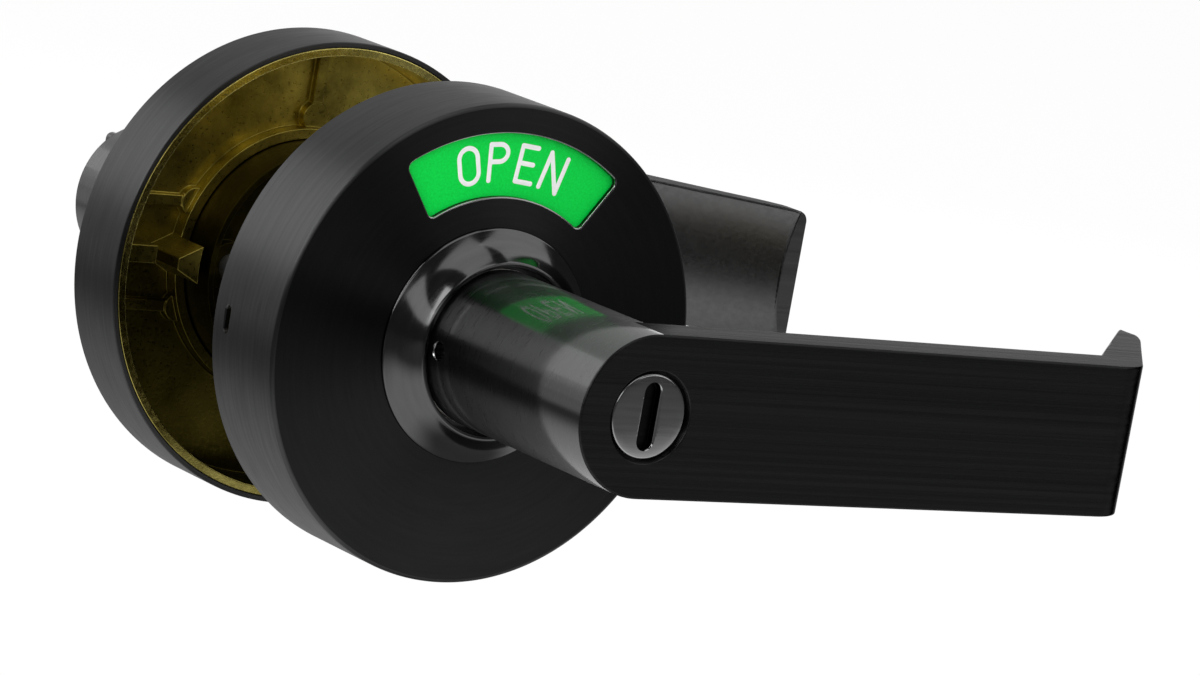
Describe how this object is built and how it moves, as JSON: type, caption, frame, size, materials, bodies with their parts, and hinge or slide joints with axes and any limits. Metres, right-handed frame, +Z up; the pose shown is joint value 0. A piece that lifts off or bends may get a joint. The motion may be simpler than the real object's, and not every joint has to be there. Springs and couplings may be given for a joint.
{
  "type": "privacy door lock",
  "caption": "Privacy door lock: round lever trims for both sides of a door, an in-use indicator window, a coin turn and a thumb turn.",
  "frame": {"origin": "on the lock's axis, mid-way through the door between the two trims", "axes": "Y along the lock's axis from the outside to the inside, +X along the levers, +Z up"},
  "size_m": [0.1798, 0.1939, 0.0888],
  "materials": {
    "black_metal": "satin black, brushed",
    "polished_black": "polished black chrome",
    "yellow_zinc": "cast, yellow zinc plate",
    "zinc_steel": "zinc plate",
    "spring_steel": "oiled spring steel",
    "white_nylon": "moulded",
    "grey_disc": "satin",
    "green_label": "printed green",
    "red_label": "printed red"
  },
  "bodies": {
    "trim": {"outside_cover": "black_metal", "outside_base": "yellow_zinc", "outside_collar": "polished_black", "outside_bush": "white_nylon", "outside_cage": "yellow_zinc", "outside_cage_screws": "zinc_steel", "outside_spring": "spring_steel", "inside_cover": "black_metal", "inside_base": "yellow_zinc", "inside_collar": "polished_black", "inside_bush": "white_nylon", "inside_cage": "yellow_zinc", "inside_cage_screws": "zinc_steel", "inside_spring": "spring_steel", "bolt_posts": "zinc_steel", "through_bolts": "zinc_steel"},
    "outside_handle": {"outside_lever": "black_metal", "outside_spindle": "zinc_steel", "outside_spindle_ring": "spring_steel", "outside_drive_plate": "zinc_steel", "outside_catch_spring": "spring_steel", "lock_ring": "zinc_steel"},
    "inside_handle": {"inside_lever": "black_metal", "inside_spindle": "zinc_steel", "inside_spindle_ring": "spring_steel", "inside_drive_plate": "zinc_steel", "inside_catch_spring": "spring_steel"},
    "turn": {"thumb_turn": "polished_black", "thumb_turn_clip": "spring_steel", "turn_bar": "zinc_steel", "turn_driver": "zinc_steel"},
    "coin": {"coin_turn": "polished_black", "coin_turn_clip": "spring_steel"},
    "indicator": {"indicator_disc": "grey_disc", "open_sector": "green_label", "in_use_sector": "red_label"},
    "dog": {"lock_dog": "zinc_steel"},
    "outside_button": {"outside_catch": "polished_black"},
    "inside_button": {"inside_catch": "polished_black"}
  },
  "joints": [
    {"name": "outside_lever_turn", "type": "hinge", "parent": "trim", "child": "outside_handle", "pos_m": [0, 0, 0], "axis": [0, 1, 0], "range_deg": [-50, 50], "stiffness_Nm_per_rad": 2.5, "springref_deg": -5, "deforming": ["outside_spring"]},
    {"name": "inside_lever_turn", "type": "hinge", "parent": "trim", "child": "inside_handle", "pos_m": [0, 0, 0], "axis": [0, 1, 0], "range_deg": [-50, 50], "stiffness_Nm_per_rad": 2.5, "springref_deg": -5, "deforming": ["inside_spring"]},
    {"name": "thumb_turn_turn", "type": "hinge", "parent": "trim", "child": "turn", "pos_m": [0, 0, 0], "axis": [0, -1, 0], "range_deg": [0, 90]},
    {"name": "coin_turn_turn", "type": "hinge", "parent": "trim", "child": "coin", "pos_m": [0, 0, 0], "axis": [0, -1, 0], "range_deg": [0, 90]},
    {"name": "indicator_turn", "type": "hinge", "parent": "trim", "child": "indicator", "pos_m": [0, 0, 0], "axis": [0, -1, 0], "range_deg": [0, 90]},
    {"name": "dog_slide", "type": "slide", "parent": "trim", "child": "dog", "axis": [0, 0, 1], "range_m": [0, 0.0026]},
    {"name": "outside_catch_press", "type": "slide", "parent": "outside_handle", "child": "outside_button", "axis": [1, 0, 0], "range_m": [0, 0.003], "stiffness_N_per_m": 400, "springref_m": -0.002, "deforming": ["outside_catch_spring"]},
    {"name": "inside_catch_press", "type": "slide", "parent": "inside_handle", "child": "inside_button", "axis": [1, 0, 0], "range_m": [0, 0.003], "stiffness_N_per_m": 400, "springref_m": -0.002, "deforming": ["inside_catch_spring"]}
  ],
  "couplings": [
    {"joint": "coin_turn_turn", "follows": "thumb_turn_turn", "ratio": 1},
    {"joint": "indicator_turn", "follows": "thumb_turn_turn", "ratio": 1},
    {"joint": "dog_slide", "follows": "thumb_turn_turn", "m_per_rad": 0.0016552}
  ]
}
